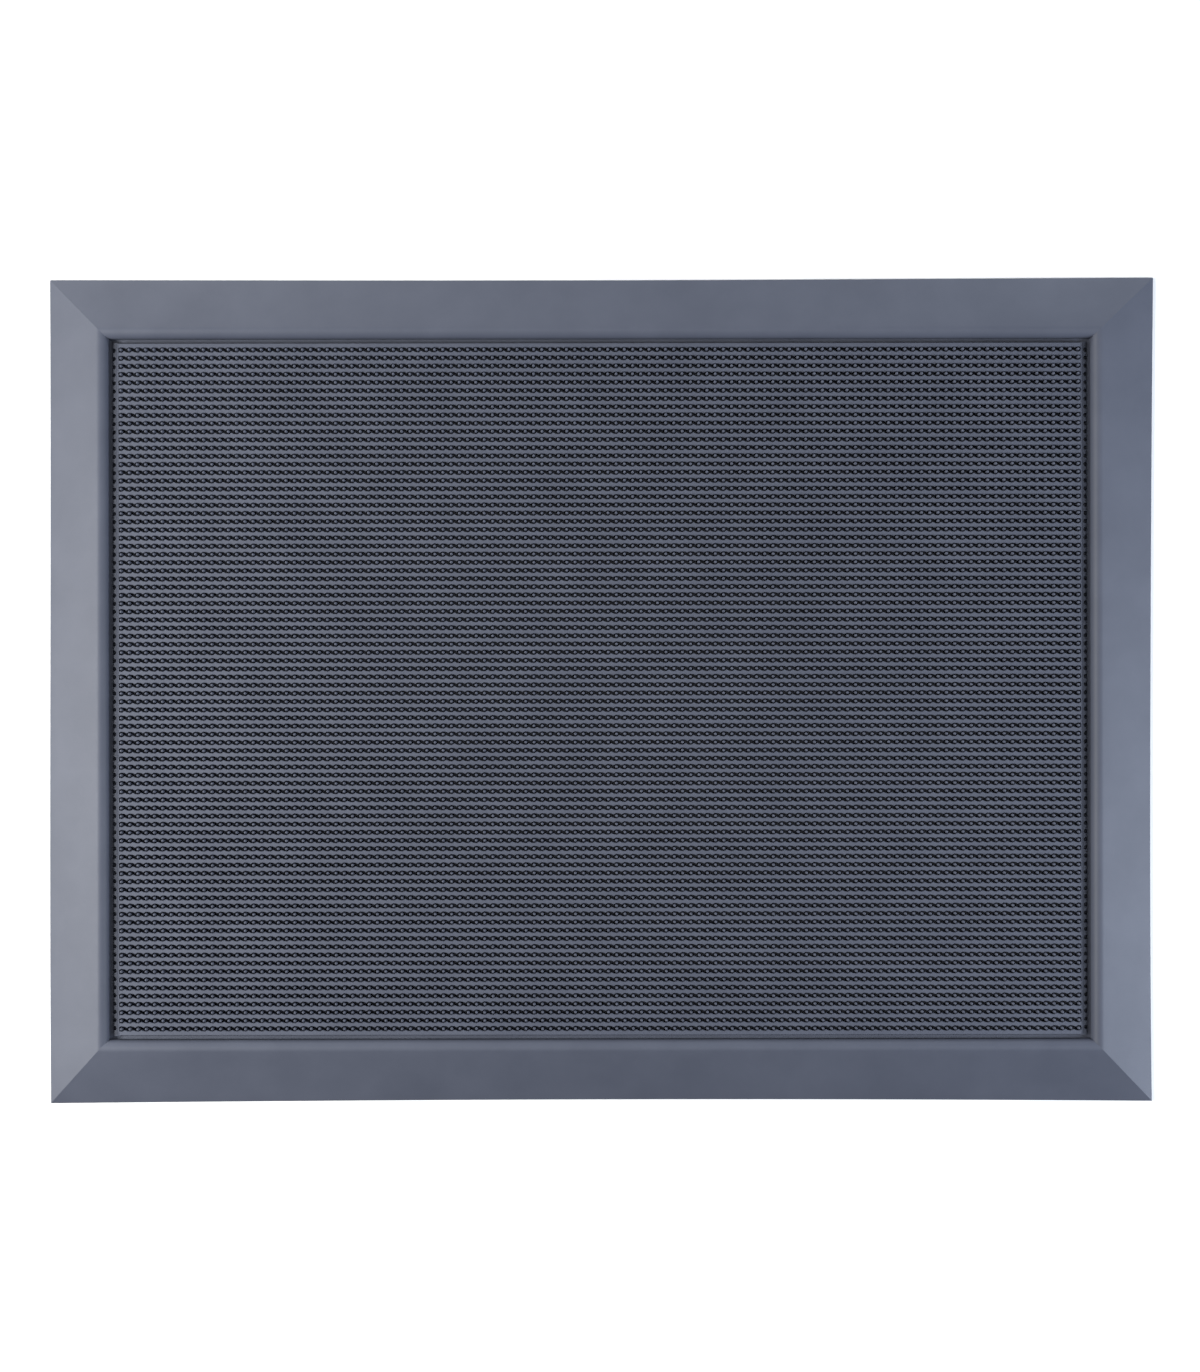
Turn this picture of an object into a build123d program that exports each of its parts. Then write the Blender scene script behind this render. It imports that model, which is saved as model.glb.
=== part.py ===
"""Rubber scraper door mat: one press moulding, divided where its own edges and mitres divide it.

Frame: +X along the long side, +Y towards the rear long side, +Z up, millimetres.
Origin: centre of the flat underside.
"""

from build123d import *
from math import asin, atan2, hypot, tan
import os

# overall outline
mat_length = 800.0
mat_width = 597.0
mat_thickness = 16.0

# border section, measured inwards from the outer edge
edge_thickness = 1.4
border_width = 48.0
foot_width = 2.4
shoulder_radius = 6.0

# tread levels, each measured from the one above it
tip_below_crest = 2.4
rib_below_tip = 2.1
ledge_below_rib = 3.5

# layers under the tread, measured from the floor
base_sheet_thickness = 2.5
groove_floor = 4.5

# tread field: studs stand in grooves between ribs that run along X
stud_pitch_x = 5.95
stud_pitch_y = 5.9
rib_width = 2.5
rib_edge_radius = 0.35
rib_end_reach = 1.9
stud_side_gap = 0.2
stud_tip_width = 1.4
wall_gap = 1.0
strip_count = 12

# thin wall that closes the grooves, and the ledge between it and the short borders
end_wall_thickness = 0.6
ledge_width_least = 3.5
pit_radius = 1.4

os.makedirs("parts", exist_ok=True)

# border: the bevel runs from the top of the thin edge, tangent to the rounded shoulder
half_length = mat_length / 2
half_width = mat_width / 2
wall_along = border_width - foot_width
shoulder_along = wall_along - shoulder_radius
shoulder_up = mat_thickness - shoulder_radius
shoulder_rise = shoulder_up - edge_thickness
shoulder_reach = hypot(shoulder_along, shoulder_rise)
bevel_angle = atan2(shoulder_rise, shoulder_along) + asin(shoulder_radius / shoulder_reach)
apex_height = edge_thickness + wall_along * tan(bevel_angle)
well_half_length = half_length - border_width
well_half_width = half_width - border_width

# tread
stud_tip_height = mat_thickness - tip_below_crest
rib_height = stud_tip_height - rib_below_tip
ledge_height = rib_height - ledge_below_rib
groove_width = stud_pitch_y - rib_width
stud_base_width = groove_width - 2 * stud_side_gap
deck_half_width = well_half_width - wall_gap
stud_rows = int((2 * deck_half_width - rib_width) / stud_pitch_y)
end_space = rib_end_reach + end_wall_thickness + ledge_width_least
row_space = 2 * (well_half_length - end_space)
studs_per_row = int(row_space / stud_pitch_x) + 1
field_half_length = (studs_per_row - 1) * stud_pitch_x / 2
rib_half_length = field_half_length + rib_end_reach


def row_y(row):
    """Centre line of a stud row, counted from 0 at the front."""
    return (row - (stud_rows - 1) / 2) * stud_pitch_y


def rib_y(rib):
    """Centre line of a rib: rib 0 is in front of row 0, and one more rib than rows."""
    return (rib - stud_rows / 2) * stud_pitch_y


def strip_rows(strip):
    """First row and one past the last row of a strip: the rows are shared out evenly."""
    first = strip * stud_rows // strip_count
    last = (strip + 1) * stud_rows // strip_count
    return first, last


def block(x_low, x_high, y_low, y_high, z_low, z_high):
    """A box from its six limits."""
    size = Box(
        x_high - x_low,
        y_high - y_low,
        z_high - z_low,
        align=(Align.MIN, Align.MIN, Align.MIN),
    )
    return Pos(x_low, y_low, z_low) * size


def border_section():
    """Closed outline of the border: local X inwards from the outer edge, local Y up.

    The bevel and the upright inner wall meet in one large rounded shoulder. A narrow flat
    foot runs round the inside of the wall, level with the end ledges.
    """
    outline = Polyline(
        (0, 0),
        (0, edge_thickness),
        (wall_along, apex_height),
        (wall_along, ledge_height),
        (border_width, ledge_height),
        (border_width, 0),
        close=True,
    )
    section = make_face(outline)
    apex = section.vertices().sort_by_distance((wall_along, apex_height, 0))[0]
    return fillet(apex, shoulder_radius)


def border_bar(side_length):
    """The border of one side along X at the front, with a 45 degree mitre at each end."""
    half_side = side_length / 2
    plane = Plane(origin=(-half_side, 0, 0), x_dir=(0, 1, 0), z_dir=(1, 0, 0))
    bar = extrude(plane * border_section(), amount=side_length)
    footprint = Polyline(
        (-half_side, 0),
        (half_side, 0),
        (half_side - border_width, border_width),
        (border_width - half_side, border_width),
        close=True,
    )
    mitred = extrude(make_face(footprint), amount=mat_thickness)
    return bar & mitred


def border(turn, side_length, outer_distance):
    """A border side, turned about Z from the front to its own side."""
    return Rot(0, 0, turn) * Pos(0, -outer_distance, 0) * border_bar(side_length)


def base_sheet():
    """The flat sheet under the whole well."""
    return block(
        -well_half_length,
        well_half_length,
        -well_half_width,
        well_half_width,
        0,
        base_sheet_thickness,
    )


def stud_row_section():
    """Tapered section of a stud row: local X across the row, local Y up."""
    half_base = stud_base_width / 2
    half_tip = stud_tip_width / 2
    outline = Polyline(
        (-half_base, groove_floor),
        (-half_tip, stud_tip_height),
        (half_tip, stud_tip_height),
        (half_base, groove_floor),
        close=True,
    )
    return make_face(outline)


def stud_row(row):
    """One row of studs, as a tapered rail as long as the row."""
    half_row = field_half_length + stud_base_width / 2
    plane = Plane(
        origin=(-half_row, row_y(row), 0), x_dir=(0, 1, 0), z_dir=(1, 0, 0)
    )
    return extrude(plane * stud_row_section(), amount=2 * half_row)


def strip_edges(strip):
    """Front and rear limits of a strip: mid-rib inside the field, the well's edge outside."""
    first, last = strip_rows(strip)
    front = rib_y(first)
    rear = rib_y(last)
    if strip == 0:
        front = -well_half_width
    if strip == strip_count - 1:
        rear = well_half_width
    return front, rear


def stud_strip(strip):
    """A strip of the groove floor with its rows of studs."""
    front, rear = strip_edges(strip)
    web = block(
        -rib_half_length,
        rib_half_length,
        front,
        rear,
        base_sheet_thickness,
        groove_floor,
    )
    first, last = strip_rows(strip)
    rails = [stud_row(row) for row in range(first, last)]
    return web + rails


def rib(index):
    """A flat-topped rib with its two long upper edges rounded."""
    half_rib = rib_width / 2
    centre = rib_y(index)
    front = centre - half_rib
    rear = centre + half_rib
    if index == 0:
        front = -deck_half_width
    if index == stud_rows:
        rear = deck_half_width
    bar = block(
        -rib_half_length, rib_half_length, front, rear, groove_floor, rib_height
    )
    top = bar.faces().sort_by(Axis.Z)[-1]
    return fillet(top.edges().filter_by(Axis.X), rib_edge_radius)


def rib_bank(strip):
    """The ribs in front of a strip's rows; the last bank has the rib behind them too."""
    first, last = strip_rows(strip)
    if strip == strip_count - 1:
        last += 1
    return Compound([rib(index).solid() for index in range(first, last)])


def end_ledge(side):
    """The thin wall that closes the grooves, and the ledge beyond it.

    The stud pattern runs on by one pitch into the ledge, as a round pit with no stud in it.
    """
    ledge = block(
        rib_half_length,
        well_half_length,
        -well_half_width,
        well_half_width,
        base_sheet_thickness,
        ledge_height,
    )
    pit_depth = ledge_height - groove_floor
    pit_x = field_half_length + stud_pitch_x
    pit = Pos(pit_x, 0, groove_floor + pit_depth) * Cylinder(pit_radius, 2 * pit_depth)
    pits = [Pos(0, row_y(row), 0) * pit for row in range(stud_rows)]
    ledge = ledge - pits
    ledge += block(
        rib_half_length,
        rib_half_length + end_wall_thickness,
        -deck_half_width,
        deck_half_width,
        base_sheet_thickness,
        rib_height,
    )
    if side < 0:
        ledge = Rot(0, 0, 180) * ledge
    return ledge


export_step(base_sheet(), "parts/base_sheet.step")
export_step(border(0, mat_length, half_width), "parts/border_front.step")
export_step(border(180, mat_length, half_width), "parts/border_rear.step")
export_step(border(-90, mat_width, half_length), "parts/border_left.step")
export_step(border(90, mat_width, half_length), "parts/border_right.step")
export_step(end_ledge(-1), "parts/end_ledge_left.step")
export_step(end_ledge(1), "parts/end_ledge_right.step")
for number in range(strip_count):
    name = f"{number + 1:02d}"
    export_step(stud_strip(number), f"parts/stud_strip_{name}.step")
    export_step(rib_bank(number), f"parts/rib_bank_{name}.step")

print(f"{stud_rows} rows of {studs_per_row} studs")
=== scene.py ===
import math
import bpy
import numpy as np
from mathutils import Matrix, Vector


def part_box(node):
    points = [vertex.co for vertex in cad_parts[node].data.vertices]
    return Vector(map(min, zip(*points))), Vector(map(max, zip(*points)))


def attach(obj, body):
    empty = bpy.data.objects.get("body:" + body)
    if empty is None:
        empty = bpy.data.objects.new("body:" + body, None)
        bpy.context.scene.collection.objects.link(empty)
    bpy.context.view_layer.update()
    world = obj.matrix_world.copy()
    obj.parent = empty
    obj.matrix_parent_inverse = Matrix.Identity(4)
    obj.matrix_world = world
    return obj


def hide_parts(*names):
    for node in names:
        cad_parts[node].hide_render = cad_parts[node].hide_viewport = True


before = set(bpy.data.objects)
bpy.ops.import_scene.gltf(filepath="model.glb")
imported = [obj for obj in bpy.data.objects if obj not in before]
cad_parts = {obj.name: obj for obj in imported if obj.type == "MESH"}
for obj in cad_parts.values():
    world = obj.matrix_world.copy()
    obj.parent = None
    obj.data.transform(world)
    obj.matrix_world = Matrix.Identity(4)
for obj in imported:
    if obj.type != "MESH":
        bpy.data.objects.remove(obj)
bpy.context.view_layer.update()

MM = 0.001


# ---------------------------------------------------------------------------------------
# Border. Pressed with the rest of the mat, in one piece, from filled natural rubber. A
# long bevel rises from a thin outer edge and rolls over a broad shoulder into an upright
# wall round the well; the four sides meet in mitres.
# ---------------------------------------------------------------------------------------
border_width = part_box("border_left")[1][0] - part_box("border_left")[0][0]
crest_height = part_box("border_front")[1][2]
edge_height = 1.4 * MM
shoulder_radius = 6.0 * MM
foot_width = 2.4 * MM
ledge_height = 8.0 * MM
long_side_foot_height = 5.5 * MM
bevel_crown = 0.3 * MM
bottom_edge_radius = 0.3 * MM
top_edge_radius = 0.6 * MM
bevel_steps = 6
border_steps = 240
arc_step = math.radians(9)
least_arc_steps = 3
border_smooth_angle = 50

# how far each outer edge lies inside its straight line, in mm, at seven even places: a
# soft mat never lies quite straight
edge_places = np.linspace(-1, 1, 7)
edge_curve_degree = 4
edge_lie = {
    "border_front": (-1.7, -0.7, 0.3, 0.5, 0.5, 0.0, -1.0),
    "border_right": (-0.25, 0.55, 0.75, 0.35, -0.15, -0.85, -1.85),
    "border_rear": (0.5, 1.1, 1.6, 1.8, 2.2, 1.5, 1.4),
    "border_left": (1.15, 1.55, 1.05, 1.05, 0.95, 0.65, 1.25),
}


def rounded_outline(corners):
    """Closed outline from corners, each one (along, up, radius).

    Each corner with a radius becomes an arc tangent to both of its sides: the arc starts
    radius / tan(half the angle between them) from the corner, and its centre lies on the
    bisector at radius / sin(half the angle).
    """
    points = []
    count = len(corners)
    for index, (along, up, radius) in enumerate(corners):
        here = np.array((along, up))
        if radius == 0:
            points.append(here[None])
            continue
        before = np.array(corners[index - 1][:2]) - here
        after = np.array(corners[(index + 1) % count][:2]) - here
        before /= np.linalg.norm(before)
        after /= np.linalg.norm(after)
        half_angle = math.acos(float(before @ after)) / 2
        bisector = (before + after) / np.linalg.norm(before + after)
        centre = here + bisector * radius / math.sin(half_angle)
        start = here + before * radius / math.tan(half_angle) - centre
        end = here + after * radius / math.tan(half_angle) - centre
        first = math.atan2(start[1], start[0])
        sweep = (math.atan2(end[1], end[0]) - first + math.pi) % (2 * math.pi) - math.pi
        steps = max(least_arc_steps, math.ceil(abs(sweep) / arc_step) + 1)
        angles = first + sweep * np.linspace(0, 1, steps)
        points.append(centre + radius * np.stack((np.cos(angles), np.sin(angles)), 1))
    return np.concatenate(points)


def signed_volume(points, starts, corners):
    """Volume under a closed surface: the sum of each face's fan of tetrahedra to the origin."""
    sizes = np.diff(np.append(starts, len(corners)))
    first = np.repeat(corners[starts], sizes)
    following = np.roll(corners, -1)
    a, b, c = points[first], points[corners], points[following]
    last = starts + sizes - 1
    keep = np.ones(len(corners), bool)
    keep[last] = False
    return float(np.einsum("ij,ij->i", a, np.cross(b, c))[keep].sum()) / 6


def closed_piece(name, points, faces, smooth_angle):
    """A mesh object from points and a list of face arrays, each one (faces, corners).

    Faces are turned to point outwards if the volume that they enclose comes out negative.
    """
    corners = np.concatenate([block.ravel() for block in faces]).astype(np.int32)
    sizes = np.concatenate([np.full(len(block), block.shape[1]) for block in faces])
    starts = (np.cumsum(sizes) - sizes).astype(np.int32)
    if signed_volume(points, starts, corners) < 0:
        corners = np.concatenate([block[:, ::-1].ravel() for block in faces]).astype(np.int32)
    mesh = bpy.data.meshes.new(name)
    mesh.vertices.add(len(points))
    mesh.vertices.foreach_set("co", points.astype(np.float32).ravel())
    mesh.loops.add(len(corners))
    mesh.loops.foreach_set("vertex_index", corners)
    mesh.polygons.add(len(starts))
    mesh.polygons.foreach_set("loop_start", starts)
    mesh.update(calc_edges=True)
    mesh.polygons.foreach_set("use_smooth", np.ones(len(starts), bool))
    mesh.set_sharp_from_angle(angle=math.radians(smooth_angle))
    piece = bpy.data.objects.new(name, mesh)
    bpy.context.scene.collection.objects.link(piece)
    return piece


def tube_faces(rows, columns, offset=0):
    """Faces of a closed profile of so many columns carried through so many rows, ends capped."""
    row, column = np.meshgrid(np.arange(rows - 1), np.arange(columns), indexing="ij")
    beside = (column + 1) % columns
    sides = np.stack(
        (
            row * columns + column,
            (row + 1) * columns + column,
            (row + 1) * columns + beside,
            row * columns + beside,
        ),
        -1,
    ).reshape(-1, 4) + offset
    first_cap = np.arange(columns)[None, :] + offset
    last_cap = ((rows - 1) * columns + np.arange(columns))[None, ::-1] + offset
    return sides, first_cap, last_cap


def border_outline(foot_height):
    """The border's section: distance inwards from the outer edge, and height.

    The bevel leaves the top of the edge at the angle that makes it tangent to the
    shoulder's circle. It is crowned by a flat parabola, 4 * crown * t * (1 - t).
    """
    wall = border_width - foot_width
    centre_along = wall - shoulder_radius
    centre_rise = crest_height - shoulder_radius - edge_height
    reach = math.hypot(centre_along, centre_rise)
    angle = math.atan2(centre_rise, centre_along) + math.asin(shoulder_radius / reach)
    bevel_end = centre_along - shoulder_radius * math.sin(angle)
    shares = np.arange(1, bevel_steps) / bevel_steps
    bevel = [
        (bevel_end * t, edge_height + bevel_end * t * math.tan(angle), 0) for t in shares
    ]
    apex = edge_height + wall * math.tan(angle)
    outline = rounded_outline((
        (0, 0, bottom_edge_radius),
        (0, edge_height, top_edge_radius),
        *bevel,
        (wall, apex, shoulder_radius),
        (wall, foot_height, 0),
        (border_width, foot_height, 0),
        (border_width, 0, 0),
    ))
    t = np.clip(outline[:, 0] / bevel_end, 0, 1)
    raised = outline[:, 1] > edge_height / 2
    outline[:, 1] += 4 * bevel_crown * t * (1 - t) * raised
    return outline


def border_side(name, half_side, outer, turn, corner_before, corner_after, foot_height):
    """One mitred side: at distance d inwards its ends lie at +-(half_side - d).

    The outer edge lies inside its straight line by a smooth fourth-power curve through
    the seven places. The shift fades to nothing at the shoulder, and the ends follow
    the neighbours' edges so that the mitres stay shut.
    """
    outline = border_outline(foot_height)
    inwards, height = outline[:, 0], outline[:, 1]
    place = np.linspace(-1, 1, border_steps)[:, None]
    fade = np.clip(1 - inwards / (border_width - foot_width - shoulder_radius), 0, 1)
    curve = np.polyfit(edge_places, edge_lie[name], edge_curve_degree)
    neighbour = np.where(place > 0, corner_after, -corner_before) * place ** edge_curve_degree
    along = place * (half_side - inwards) - neighbour * fade * MM
    across = -outer + inwards + np.polyval(curve, place) * fade * MM
    turned = math.radians(turn)
    points = np.stack((
        along * math.cos(turned) - across * math.sin(turned),
        along * math.sin(turned) + across * math.cos(turned),
        np.broadcast_to(height, along.shape),
    ), -1)
    faces = tube_faces(*points.shape[:2])
    side = closed_piece(name, points.reshape(-1, 3), faces, border_smooth_angle)
    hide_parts(name)
    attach(side, "root")
    return side


half_length = -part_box("border_left")[0][0]
half_width = -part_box("border_front")[0][1]
sides = ("border_front", "border_right", "border_rear", "border_left")
borders = []
for index, name in enumerate(sides):
    runs_along_x = index % 2 == 0
    half_side, outer = (half_length, half_width) if runs_along_x else (half_width, half_length)
    before = edge_lie[sides[index - 1]][-1]
    after = edge_lie[sides[(index + 1) % 4]][0]
    # the foot meets the ledges on the short sides and lies lower along the long ones
    foot = long_side_foot_height if runs_along_x else ledge_height
    borders.append(border_side(name, half_side, outer, 90 * index, before, after, foot))


def linear(colour):
    """Linear RGBA from an sRGB hex string.

    A channel is c / 12.92 up to 0.04045, and ((c + 0.055) / 1.055) ^ 2.4 above.
    """
    channels = [int(colour[start:start + 2], 16) / 255 for start in (1, 3, 5)]
    low = [c / 12.92 for c in channels]
    high = [((c + 0.055) / 1.055) ** 2.4 for c in channels]
    return [l if c <= 0.04045 else h for c, l, h in zip(channels, low, high)] + [1.0]


def add_node(tree, kind, settings=None, links=None):
    """A shader node: settings go to its attributes or inputs, links are (node, output)."""
    made = tree.nodes.new(kind)
    for key, value in (settings or {}).items():
        if isinstance(key, str) and hasattr(made, key):
            setattr(made, key, value)
        else:
            made.inputs[key].default_value = value
    for key, (source, output) in (links or {}).items():
        tree.links.new(source.outputs[output], made.inputs[key])
    return made


def press_moulded_rubber(name, colour, pale, grain_mm, grain_depth_mm, cloud_mm):
    """Press-moulded rubber: dull and even, with a faint pale bloom in clouds and a grain.

    The bloom is wax and filler that rise to the surface as the rubber ages. The grain is
    the blasted finish of the mould, about 0.2 mm across on real rubber; it is drawn a few
    times coarser, because at its own size it would be too fine to show.
    """
    material = bpy.data.materials.new(name)
    material.use_nodes = True
    tree = material.node_tree
    tree.nodes.clear()
    place = add_node(tree, "ShaderNodeTexCoord")
    cloud = add_node(tree, "ShaderNodeTexNoise", {
        "Scale": 1 / (cloud_mm * MM), "Detail": 4.0, "Roughness": 0.6,
    }, {"Vector": (place, "Object")})
    grain = add_node(tree, "ShaderNodeTexNoise", {
        "Scale": 1 / (grain_mm * MM), "Detail": 3.0, "Roughness": 0.7,
    }, {"Vector": (place, "Object")})
    bloom = add_node(tree, "ShaderNodeMapRange", {
        "From Min": 0.35, "From Max": 0.7, "To Min": 0.0, "To Max": 1.0,
    }, {"Value": (cloud, "Fac")})
    tint = add_node(tree, "ShaderNodeMix", {
        "data_type": "RGBA", 6: linear(colour), 7: linear(pale),
    }, {0: (bloom, "Result")})
    dull = add_node(tree, "ShaderNodeMapRange", {
        "From Min": 0.3, "From Max": 0.7, "To Min": 0.52, "To Max": 0.64,
    }, {"Value": (grain, "Fac")})
    bump = add_node(tree, "ShaderNodeBump", {
        "Strength": 1.0, "Distance": grain_depth_mm * MM,
    }, {"Height": (grain, "Fac")})
    rubber = add_node(tree, "ShaderNodeBsdfPrincipled", {"IOR": 1.45}, {
        "Base Color": (tint, 2), "Roughness": (dull, "Result"), "Normal": (bump, "Normal"),
    })
    add_node(tree, "ShaderNodeOutputMaterial", links={"Surface": (rubber, "BSDF")})
    return material


border_rubber = press_moulded_rubber(
    "slate_rubber_border", "#474b58", "#4d515e", 0.9, 0.03, 45
)
for side in borders:
    side.data.materials.append(border_rubber)


# ---------------------------------------------------------------------------------------
# Base sheet. The solid web of rubber under the whole well, from the same pressing. Its
# underside is flat, a little darker and coarser in grain than the top. The frame's own
# flat sheet is kept as it is, with a rubber of its own.
# ---------------------------------------------------------------------------------------
sheet_rubber = press_moulded_rubber(
    "slate_rubber_underside", "#434753", "#494d59", 1.2, 0.06, 60
)
sheet_mesh = bpy.data.objects["base_sheet"].data
sheet_mesh.materials.clear()
sheet_mesh.materials.append(sheet_rubber)


# ---------------------------------------------------------------------------------------
# Ribs. Flat-topped bars that run the length of the well, one between each two rows of
# studs. Beside a stud both ribs give way in a round recess, where the mould's hole was
# opened out with a wider cutter, and between studs the groove runs slightly aslant.
# ---------------------------------------------------------------------------------------
bank_names = sorted(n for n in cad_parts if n.startswith("rib_bank_"))
strip_names = sorted(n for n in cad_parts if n.startswith("stud_strip_"))
stud_rows = 84
studs_per_row = 117
rib_end_reach = 1.9 * MM
rib_low, rib_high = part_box(bank_names[1])
rows_per_strip = stud_rows // len(strip_names)
strip_front, strip_rear = (corner[1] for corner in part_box(strip_names[1]))
row_pitch = (strip_rear - strip_front) / rows_per_strip
stud_pitch = (rib_high[0] - rib_low[0] - 2 * rib_end_reach) / (studs_per_row - 1)
groove_floor = rib_low[2]
rib_top = rib_high[2]
deck_half_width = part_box(bank_names[-1])[1][1]
recess_radius = 1.9 * MM
recess_floor_radius = 1.45 * MM
groove_half_width = 1.15 * MM
groove_floor_half_width = 1.05 * MM
groove_slant = 0.55 * MM
rib_edge = 0.3 * MM
rib_smooth_angle = 35

# places along one pitch, measured from a stud: close together round the recess
recess_places = np.array((-2.1, -1.4, -0.7, 0.0, 0.7, 1.4, 2.1, 2.975)) * MM
stud_x = (np.arange(studs_per_row) - (studs_per_row - 1) / 2) * stud_pitch
row_y = (np.arange(stud_rows) - (stud_rows - 1) / 2) * row_pitch
rib_x = np.concatenate((
    [rib_low[0]], (stud_x[:, None] + recess_places).ravel()[:-1], [rib_high[0]],
))


def groove_edges(x, radius, half_width):
    """Distances of a groove's front and rear edges from its studs' centre line at x.

    Each edge is the circle round the nearest stud, or the plain groove's half width where
    that is more. Between two studs the groove runs aslant, from the rear of one to the
    front of the next: its middle shifts by a sine, once per pitch.
    """
    near = (x + stud_pitch / 2 - stud_x[0]) % stud_pitch - stud_pitch / 2
    circle = np.sqrt(np.clip(radius ** 2 - near ** 2, 0, None))
    shift = groove_slant * np.sin(2 * math.pi * near / stud_pitch)
    return np.maximum(circle, half_width - shift), np.maximum(circle, half_width + shift)


def rib_points(index):
    """One rib: at each x six points round its section, with drafted sides, chamfered edges.

    Its front side is the rear edge of the groove in front of it, and the other way round.
    """
    front_row = (index - 0.5 - stud_rows / 2) * row_pitch
    rear_row = front_row + row_pitch
    top_front, top_rear = groove_edges(rib_x, recess_radius, groove_half_width)
    foot_front, foot_rear = groove_edges(rib_x, recess_floor_radius, groove_floor_half_width)
    edges = np.stack((
        front_row + foot_rear, front_row + top_rear, front_row + top_rear + rib_edge,
        rear_row - top_front - rib_edge, rear_row - top_front, rear_row - foot_front,
    ), 1)
    if index == 0:
        edges[:, :3] = -deck_half_width + np.array((0, 0, rib_edge))
    if index == stud_rows:
        edges[:, 3:] = deck_half_width - np.array((rib_edge, 0, 0))
    up = np.array((
        groove_floor, rib_top - rib_edge, rib_top, rib_top, rib_top - rib_edge, groove_floor,
    ))
    return np.stack((
        np.broadcast_to(rib_x[:, None], edges.shape), edges, np.broadcast_to(up, edges.shape),
    ), -1)


tread_rubber = press_moulded_rubber(
    "slate_rubber_tread", "#474b58", "#4d515e", 0.6, 0.02, 30
)
for bank, name in enumerate(bank_names):
    first = bank * rows_per_strip
    last = first + rows_per_strip + (bank == len(bank_names) - 1)
    points = np.stack([rib_points(index) for index in range(first, last)])
    per_rib = points.shape[1] * points.shape[2]
    faces = []
    for number in range(last - first):
        faces.extend(tube_faces(*points.shape[1:3], number * per_rib))
    ribs = closed_piece(name, points.reshape(-1, 3), faces, rib_smooth_angle)
    ribs.data.materials.append(tread_rubber)
    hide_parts(name)
    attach(ribs, "root")


# ---------------------------------------------------------------------------------------
# Studs. Small cones with round tips stand in the grooves on a shared floor, pressed in
# the same shot. They stand a little above the ribs, so they scrape first; each leans
# and ends a little differently because the hot rubber is pulled out of deep holes.
# ---------------------------------------------------------------------------------------
stud_low = groove_floor
stud_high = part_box(strip_names[0])[1][2]
floor_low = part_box(strip_names[0])[0][2]
stud_base_radius = 1.35 * MM
stud_tip_radius = 0.92 * MM
stud_sides = 10
stud_lean = 0.07 * MM
stud_height_spread = 0.12 * MM
stud_sink = 0.3 * MM
stud_smooth_angle = 60
random = np.random.default_rng(84)

# height as a share of the stud and radius, ring by ring: a straight cone, then a round tip
stud_rings = np.array((
    (0.0, stud_base_radius),
    (0.93, stud_tip_radius * 1.04),
    (0.985, stud_tip_radius * 0.72),
    (1.0, stud_tip_radius * 0.35),
))


def stud_strip(name, rows):
    """A strip of the groove floor, and rings of points round each stud's own leaning axis."""
    low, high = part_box(name)
    centre_x, centre_y = np.meshgrid(stud_x, row_y[rows], indexing="ij")
    centres = np.stack((centre_x.ravel(), centre_y.ravel()), -1)
    count = len(centres)
    lean = random.normal(0, stud_lean, (count, 2))
    height = stud_high - stud_low - np.abs(random.normal(0, stud_height_spread, count))
    turn = random.uniform(0, 2 * math.pi, count)
    angle = turn[:, None] + np.arange(stud_sides) * 2 * math.pi / stud_sides
    circle = np.stack((np.cos(angle), np.sin(angle)), -1)
    share, radius = stud_rings[:, 0], stud_rings[:, 1]
    flat = (
        centres[:, None, None, :]
        + lean[:, None, None, :] * share[None, :, None, None]
        + circle[:, None, :, :] * radius[None, :, None, None]
    )
    up = stud_low + height[:, None] * share
    up[:, 0] -= stud_sink
    up = np.broadcast_to(up[:, :, None, None], flat.shape[:3] + (1,))
    studs = np.concatenate((flat, up), -1).reshape(-1, 3)
    rings = len(stud_rings)
    base = (np.arange(count) * rings * stud_sides)[:, None, None, None]
    ring, side = np.meshgrid(np.arange(rings - 1), np.arange(stud_sides), indexing="ij")
    beside = (side + 1) % stud_sides
    quads = np.stack((
        ring * stud_sides + side, ring * stud_sides + beside,
        (ring + 1) * stud_sides + beside, (ring + 1) * stud_sides + side,
    ), -1)
    walls = (base + quads[None]).reshape(-1, 4)
    around = np.arange(stud_sides)[None, :]
    bottoms = base[:, :, 0, 0] + around[:, ::-1]
    tips = base[:, :, 0, 0] + around + (rings - 1) * stud_sides
    floor = np.array([
        (x, y, z) for z in (floor_low, groove_floor) for x, y in
        ((low[0], low[1]), (high[0], low[1]), (high[0], high[1]), (low[0], high[1]))
    ])
    floor_faces = np.array((
        (3, 2, 1, 0), (4, 5, 6, 7), (0, 1, 5, 4), (1, 2, 6, 5), (2, 3, 7, 6), (3, 0, 4, 7),
    )) + len(studs)
    points = np.concatenate((studs, floor))
    faces = [walls, bottoms, tips, floor_faces]
    strip = closed_piece(name, points, faces, stud_smooth_angle)
    strip.data.materials.append(tread_rubber)
    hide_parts(name)
    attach(strip, "root")


for number, name in enumerate(strip_names):
    stud_strip(name, slice(number * rows_per_strip, (number + 1) * rows_per_strip))


# ---------------------------------------------------------------------------------------
# End ledges. At each short side, in the same pressing, a thin wall closes the grooves and
# a low ledge fills the gap to the border. The stud pattern runs on into the ledge by one
# pitch as round pits, and the last studs' recesses bite into the wall.
# ---------------------------------------------------------------------------------------
ledge_low, ledge_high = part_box("end_ledge_right")
end_wall_thickness = 0.6 * MM
pit_radius = 1.4 * MM
pit_slope = 0.35 * MM
ledge_crown = 0.4 * MM
ledge_step_x = 0.25 * MM
ledge_steps_per_pitch = 14
wall_foot_step = 0.05 * MM
end_wall_least = 0.15 * MM
ledge_smooth_angle = 40


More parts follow.
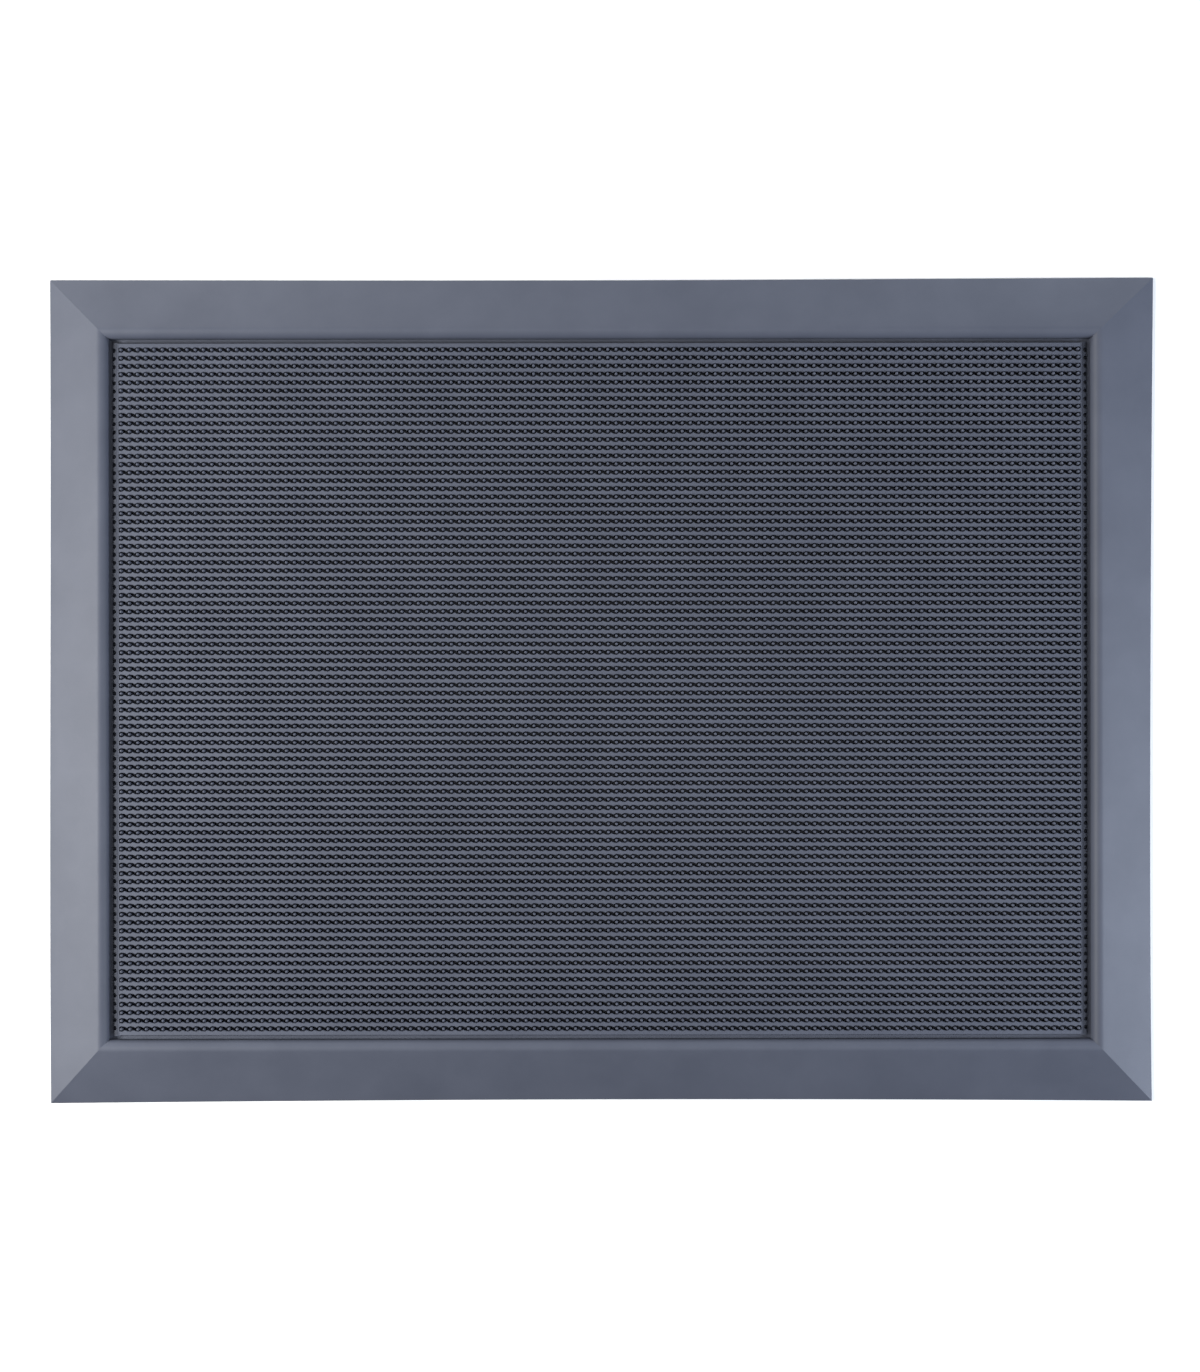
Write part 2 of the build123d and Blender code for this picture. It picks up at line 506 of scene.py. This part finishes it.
def end_ledge(name, direction):
    """A height field over the ledge: wall, crowned ledge and pits, closed by a flat underside.

    Height is the crowned ledge, 1 - ((x - middle) / half width) ^ 2 of the crown, less the
    pits, whose sides fall over a short slope, and is the wall's own height over the wall.
    """
    wall_near = ledge_low[0]
    wall_far = wall_near + end_wall_thickness
    x = np.concatenate((
        [wall_near, wall_far, wall_far + wall_foot_step],
        np.arange(wall_far + ledge_step_x, ledge_high[0], ledge_step_x),
        [ledge_high[0]],
    ))
    steps = round((ledge_high[1] - ledge_low[1]) / row_pitch * ledge_steps_per_pitch)
    y = np.linspace(ledge_low[1], ledge_high[1], steps)
    across, along = np.meshgrid(x, y, indexing="ij")
    middle = (wall_far + ledge_high[0]) / 2
    half = (ledge_high[0] - wall_far) / 2
    surface = ledge_height - ledge_crown * ((across - middle) / half) ** 2
    pit_x = stud_x[-1] + stud_pitch
    row = np.clip(np.round((along - row_y[0]) / row_pitch), 0, stud_rows - 1)
    nearest = row_y[0] + row * row_pitch
    distance = np.hypot(across - pit_x, along - nearest)
    inside = np.clip((pit_radius - distance) / pit_slope, 0, 1)
    surface -= inside * (ledge_height - groove_floor)
    wall = (across <= wall_far) & (np.abs(along) <= deck_half_width)
    surface = np.where(wall, rib_top, surface)
    # the wall's inner face gives way where the last stud's recess reaches it
    bite = np.sqrt(np.clip(recess_radius ** 2 - (along - nearest) ** 2, 0, None))
    bitten = np.clip(stud_x[-1] + bite, wall_near, wall_far - end_wall_least)
    across = np.where(across == wall_near, bitten, across)
    top = np.stack((across * direction, along, surface), -1)
    bottom = np.stack((across * direction, along, np.full_like(across, ledge_low[2])), -1)
    rows, columns = across.shape
    points = np.stack((top, bottom)).reshape(-1, 3)
    row, column = np.meshgrid(np.arange(rows - 1), np.arange(columns - 1), indexing="ij")
    corner = row * columns + column
    upper = np.stack((corner, corner + columns, corner + columns + 1, corner + 1), -1)
    upper = upper.reshape(-1, 4)
    lower = upper[:, ::-1] + rows * columns
    rim = np.concatenate((
        np.arange(columns),
        np.arange(1, rows) * columns + columns - 1,
        (rows - 1) * columns + np.arange(columns - 1)[::-1],
        np.arange(1, rows - 1)[::-1] * columns,
    ))
    ahead = np.roll(rim, -1)
    skirt = np.stack((ahead, rim, rim + rows * columns, ahead + rows * columns), -1)
    ledge = closed_piece(name, points, [upper, lower, skirt], ledge_smooth_angle)
    ledge.data.materials.append(tread_rubber)
    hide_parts(name)
    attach(ledge, "root")


end_ledge("end_ledge_left", -1)
end_ledge("end_ledge_right", 1)


# ---------------------------------------------------------------------------------------
# Studio: a white table, a large soft box to the left, a weaker one to the right, a
# soft light over each far corner, a faint one overhead, and a camera straight above.
# ---------------------------------------------------------------------------------------
floor_size = 12.0
floor_drop = 0.0002
floor_mesh = bpy.data.meshes.new("table_top")
corners = np.array(((-1, -1), (1, -1), (1, 1), (-1, 1))) * floor_size / 2
floor_mesh.from_pydata([(x, y, 0) for x, y in corners], [], [(0, 1, 2, 3)])
table_top = bpy.data.objects.new("table_top", floor_mesh)
table_top.location.z = -floor_drop
bpy.context.scene.collection.objects.link(table_top)
paper = bpy.data.materials.new("white_paper")
paper.use_nodes = True
paper_surface = paper.node_tree.nodes["Principled BSDF"].inputs
paper_surface["Base Color"].default_value = linear("#f4f4f4")
paper_surface["Roughness"].default_value = 0.9
floor_mesh.materials.append(paper)


def soft_box(name, place, width, height, power, tint):
    """A rectangular area light at place, facing the middle of the mat."""
    light = bpy.data.lights.new(name, "AREA")
    light.shape = "RECTANGLE"
    light.size = width
    light.size_y = height
    light.energy = power
    light.color = tint
    lamp = bpy.data.objects.new(name, light)
    lamp.location = place
    lamp.rotation_euler = (-Vector(place)).to_track_quat("-Z", "Y").to_euler()
    bpy.context.scene.collection.objects.link(lamp)


neutral = (1.0, 1.0, 0.98)
cool = (0.92, 1.0, 1.12)
soft_box("soft_box_left", (-1.25, -0.1, 0.9), 0.8, 0.5, 33.5, neutral)
soft_box("soft_box_right", (1.25, -0.3, 0.9), 0.6, 0.5, 11.5, cool)
soft_box("soft_box_right_low", (1.5, -0.4, 0.45), 0.6, 0.4, 12.5, cool)
soft_box("soft_box_rear_left", (-0.7, 1.3, 0.5), 0.5, 0.4, 8, neutral)
soft_box("soft_box_rear_right", (0.7, 1.3, 0.5), 0.5, 0.4, 7, cool)
soft_box("soft_box_above", (0.0, 0.0, 2.2), 1.2, 1.2, 7, neutral)

world = bpy.data.worlds.new("studio_air")
world.use_nodes = True
air = world.node_tree.nodes["Background"].inputs
air["Color"].default_value = (1, 1, 1, 1)
air["Strength"].default_value = 0.02
bpy.context.scene.world = world
bpy.context.scene.view_settings.view_transform = "Standard"

# the camera stands a few millimetres off the centre and a hair turned, as a hand-set one does
camera_place = (0.00005, 0.0021, 1.6)
camera_turn = math.radians(-0.071)
camera_data = bpy.data.cameras.new("camera")
camera_data.sensor_width = 36.0
camera_data.lens = 57.8
camera = bpy.data.objects.new("camera", camera_data)
camera.location = camera_place
camera.rotation_euler = (0, 0, camera_turn)
bpy.context.scene.collection.objects.link(camera)
bpy.context.scene.camera = camera
